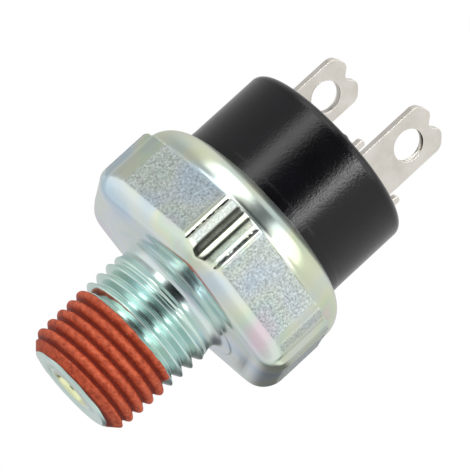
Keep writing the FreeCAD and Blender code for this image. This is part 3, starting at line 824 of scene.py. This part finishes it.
class SENDER_OT_cap(bpy.types.Operator):
    """Make the black cap and the resin over its adjuster"""
    bl_idname = "sender.cap"
    bl_label = "Moulded Cap"

    def execute(self, context):
        mm = millimetres(context.scene.sender_cap)
        terminals = millimetres(context.scene.sender_terminals)
        black = finish("black_phenolic_moulding", black_phenolic, context.scene.sender_finish.cap)
        new_piece("moulded_cap", [cap_shell(mm, terminals)], black, BODY, ["terminal_cap"])
        resin = finish("black_potting_resin", plain, "#19191a", "#232324", 0.0, 0.22, 1.5, 0.4, 0.006)
        new_piece("resin_seal", [seal_shell(mm)], resin, BODY, ["adjuster_seal"])
        return {"FINISHED"}


class SENDER_OT_terminals(bpy.types.Operator):
    """Make the two blade terminals with their ears and hidden feet"""
    bl_idname = "sender.terminals"
    bl_label = "Blade Terminals"

    def execute(self, context):
        mm = millimetres(context.scene.sender_terminals)
        tin = finish("tinned_brass", tinned_brass, context.scene.sender_finish.tin)
        for name, side in (("right_terminal", 1.0), ("left_terminal", -1.0)):
            new_piece(name.replace("terminal", "blade"), terminal_shells(mm, side), tin, BODY, [name])
        return {"FINISHED"}


class SENDER_OT_inner_finishes(bpy.types.Operator):
    """Give the inner CAD nodes their finishes"""
    bl_idname = "sender.inner_finishes"
    bl_label = "Inner Finishes"

    def execute(self, context):
        for name, (values, nodes) in INNER_FINISHES.items():
            material = finish(name, plain, *values)
            for node in nodes.split():
                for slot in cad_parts[node].material_slots:
                    slot.material = material
        return {"FINISHED"}


AIM = Vector((0.0, 0.0, 24.0))  # millimetres
MIDDLE = Vector((0.0, 0.0, 0.022))  # what the lamps and cards face, in metres
CAMERA_DISTANCE = 390.0  # millimetres
CAMERA_ELEVATION = -11.3  # degrees
CAMERA_ROLL = 47.53  # degrees that the axis leans to the right in the picture
CAMERA_ASIDE = -0.25  # millimetres that the camera stands to the right of the axis
PICTURE_SCALE = 9.5  # pixels to a millimetre at the aim
PICTURE_WIDTH = 470
SENSOR = 36.0


def direction(azimuth, elevation):
    """Unit vector at an azimuth from +X and an elevation, in degrees."""
    a, e = math.radians(azimuth), math.radians(elevation)
    return Vector((math.cos(a) * math.cos(e), math.sin(a) * math.cos(e), math.sin(e)))


def facing(place, target):
    """World matrix of an object at a place whose -Z looks at the target."""
    back = (place - target).normalized()
    right = Vector((0, 0, 1)).cross(back).normalized()
    up = back.cross(right)
    return Matrix.Translation(place) @ Matrix((right, up, back)).transposed().to_4x4()


def round_about(azimuth, elevation, distance):
    """World matrix of a lamp or card that stands round the sender and faces it, azimuth from the camera's side."""
    return facing(MIDDLE + direction(FRONT + azimuth, elevation) * distance, MIDDLE)


def studio_camera():
    """The photograph's camera: just below the sender, rolled so that the axis leans to the right."""
    back = direction(FRONT, CAMERA_ELEVATION)
    level = Vector((0, 0, 1)).cross(back).normalized()
    aim = (AIM + level * CAMERA_ASIDE) * MM
    place = aim + back * CAMERA_DISTANCE * MM
    data = bpy.data.cameras.new("photo_camera")
    data.sensor_width = SENSOR
    data.lens = PICTURE_SCALE * CAMERA_DISTANCE / PICTURE_WIDTH * SENSOR
    data.clip_start, data.clip_end = 0.01, 20.0
    camera = bpy.data.objects.new("photo_camera", data)
    camera.matrix_world = facing(place, aim) @ Matrix.Rotation(math.radians(CAMERA_ROLL), 4, "Z")
    bpy.context.scene.collection.objects.link(camera)
    bpy.context.scene.camera = camera


def softbox(name, azimuth, elevation, distance, width, height, radiance, reflected=True):
    """A rectangular lamp of a given radiance that faces the sender."""
    data = bpy.data.lights.new(name, "AREA")
    data.shape = "RECTANGLE"
    data.size, data.size_y = width, height
    data.energy = radiance * math.pi * width * height
    lamp = bpy.data.objects.new(name, data)
    lamp.visible_glossy = reflected
    lamp.matrix_world = round_about(azimuth, elevation, distance)
    bpy.context.scene.collection.objects.link(lamp)


def board(material, width, height, level=0.0):
    """A flat rectangle of a material that isn't part of the sender, in metres."""
    x, y = width / 2, height / 2
    mesh = bpy.data.meshes.new(material.name)
    mesh.from_pydata([(-x, -y, level), (x, -y, level), (x, y, level), (-x, y, level)], [], [(0, 1, 2, 3)])
    mesh.materials.append(material)
    flat = bpy.data.objects.new(material.name, mesh)
    bpy.context.scene.collection.objects.link(flat)
    return flat


def card(name, azimuth, elevation, distance, width, height, shade):
    """A flat card that only reflections see, facing the sender."""
    material, node = empty_material(name)
    node("OutputMaterial", {"Surface": node("Emission", {"Color": linear(shade)})})
    flat = board(material, width, height)
    flat.matrix_world = round_about(azimuth, elevation, distance)
    flat.visible_camera = flat.visible_diffuse = flat.visible_shadow = flat.visible_transmission = False


def floor():
    """A pale floor that is seen from above and clear from below, where the photograph's camera stands."""
    material, node = empty_material("pale_floor")
    paper = node("BsdfDiffuse", {"Color": linear("#dcdcdc")})
    below = node("NewGeometry").outputs["Backfacing"]
    both = node("MixShader", {0: below, 1: paper, 2: node("BsdfTransparent")})
    node("OutputMaterial", {"Surface": both})
    board(material, 6.0, 6.0, -0.02 * MM).visible_glossy = False


# What reflections see: a brightness and the soft edges of where it lies, by the parts of the direction.
ROOM = (
    (0.78, (("up", 0.3, 0.8),)),
    (1.0, (("up", 0.06, -0.1),)),
    (0.7, (("up", -0.65, -0.95),)),
    (0.70, (("beyond", 0.2, 0.7), ("up", 0.3, 0.0), ("up", -0.8, -0.6))),
    (0.16, (("beyond", 0.3, 0.8), ("aside", 0.0, 0.25), ("up", 0.25, 0.05), ("up", -0.6, -0.3))),
)


def studio_world():
    """White for the camera. Reflections see a room that is brighter to the right, brightest below the horizon
    in front, and darkest at the right of the far side. Everything else gets a soft fill."""
    world = bpy.data.worlds.new("studio")
    bpy.context.scene.world = world
    world.use_nodes = True
    world.node_tree.nodes.clear()
    node = partial(add, world.node_tree)
    path = node("LightPath").outputs
    seen = node("Math", {0: path["Is Camera Ray"], 1: path["Is Transmission Ray"]}, operation="MAXIMUM")
    way = node("TexCoord").outputs["Generated"]
    up = node("SeparateXYZ", {"Vector": way}).outputs["Z"]
    aside, beyond = (node("VectorMath", {0: way, 1: tuple(direction(FRONT + turn, 0))},
                          operation="DOT_PRODUCT").outputs["Value"] for turn in (90, 180))
    room = node("MapRange", {"Value": aside, "From Min": -0.9, "From Max": 0.9, "To Min": 0.5, "To Max": 0.73})
    for brightness, edges in ROOM:
        share = 1.0
        for name, start, end in edges:
            value = {"up": up, "aside": aside, "beyond": beyond}[name]
            edge = node("MapRange", {"Value": value, "From Min": start, "From Max": end},
                        interpolation_type="SMOOTHSTEP")
            share = node("Math", {0: edge, 1: share}, operation="MULTIPLY")
        room = node("Mix", {"Factor": share, "A": room, "B": brightness})
    pale = node("Mix", {"Factor": path["Is Glossy Ray"], "A": 0.6, "B": room})
    strength = node("Mix", {"Factor": seen, "A": pale, "B": 1.0})
    sky = node("Background", {"Color": (1, 1, 1, 1), "Strength": strength})
    node("OutputWorld", {"Surface": sky})


class SENDER_OT_studio(bpy.types.Operator):
    """Make the floor, world, lamps, cards and camera"""
    bl_idname = "sender.studio"
    bl_label = "Studio"

    def execute(self, context):
        context.scene.view_settings.view_transform = "Standard"
        studio_world()
        floor()
        softbox("key_overhead", 38, 44, 0.8, 0.5, 0.74, 0.95)
        softbox("fill_overhead", -48, 46, 0.8, 0.64, 0.7, 0.95)
        softbox("key_strip", 31, 16, 0.7, 0.1, 0.14, 11.5)
        softbox("fill_strip", -40, 8, 0.7, 0.22, 0.42, 2.4)
        softbox("top_light", 20, 74, 1.0, 1.0, 1.0, 0.8, reflected=False)
        card("camera_side_card", -1, -6, 0.55, 0.47, 0.56, "#1c1c1e")
        card("upper_card", 0, 45, 0.5, 0.19, 0.5, "#6c6c6e")
        studio_camera()
        return {"FINISHED"}


class SENDER_PT_panel(bpy.types.Panel):
    """Sizes, colours and steps of the oil pressure sender"""
    bl_idname = "SENDER_PT_panel"
    bl_label = "Oil Pressure Sender"
    bl_space_type = "VIEW_3D"
    bl_region_type = "UI"
    bl_category = "Sender"

    def draw(self, context):
        for step in STEPS:
            self.layout.operator(step.bl_idname)
        for name in GROUPS:
            group = getattr(context.scene, name)
            box = self.layout.box()
            box.label(text=group.bl_rna.description)
            for key in group.__annotations__:
                box.prop(group, key)


GROUPS = {"sender_base": SenderBase, "sender_cap": SenderCap, "sender_terminals": SenderTerminals,
          "sender_finish": SenderFinish}
STEPS = (SENDER_OT_base, SENDER_OT_sealant, SENDER_OT_cap, SENDER_OT_terminals, SENDER_OT_inner_finishes,
         SENDER_OT_studio)


def register():
    """Registers the property groups, operators and panel."""
    for name, group in GROUPS.items():
        bpy.utils.register_class(group)
        setattr(bpy.types.Scene, name, PointerProperty(type=group))
    for step in STEPS:
        bpy.utils.register_class(step)
    bpy.utils.register_class(SENDER_PT_panel)


def unregister():
    """Removes what register added."""
    bpy.utils.unregister_class(SENDER_PT_panel)
    for step in reversed(STEPS):
        bpy.utils.unregister_class(step)
    for name, group in GROUPS.items():
        delattr(bpy.types.Scene, name)
        bpy.utils.unregister_class(group)


def main():
    """Runs every step."""
    register()
    for step in STEPS:
        group, name = step.bl_idname.split(".")
        getattr(getattr(bpy.ops, group), name)()


if __name__ == "__main__":
    main()
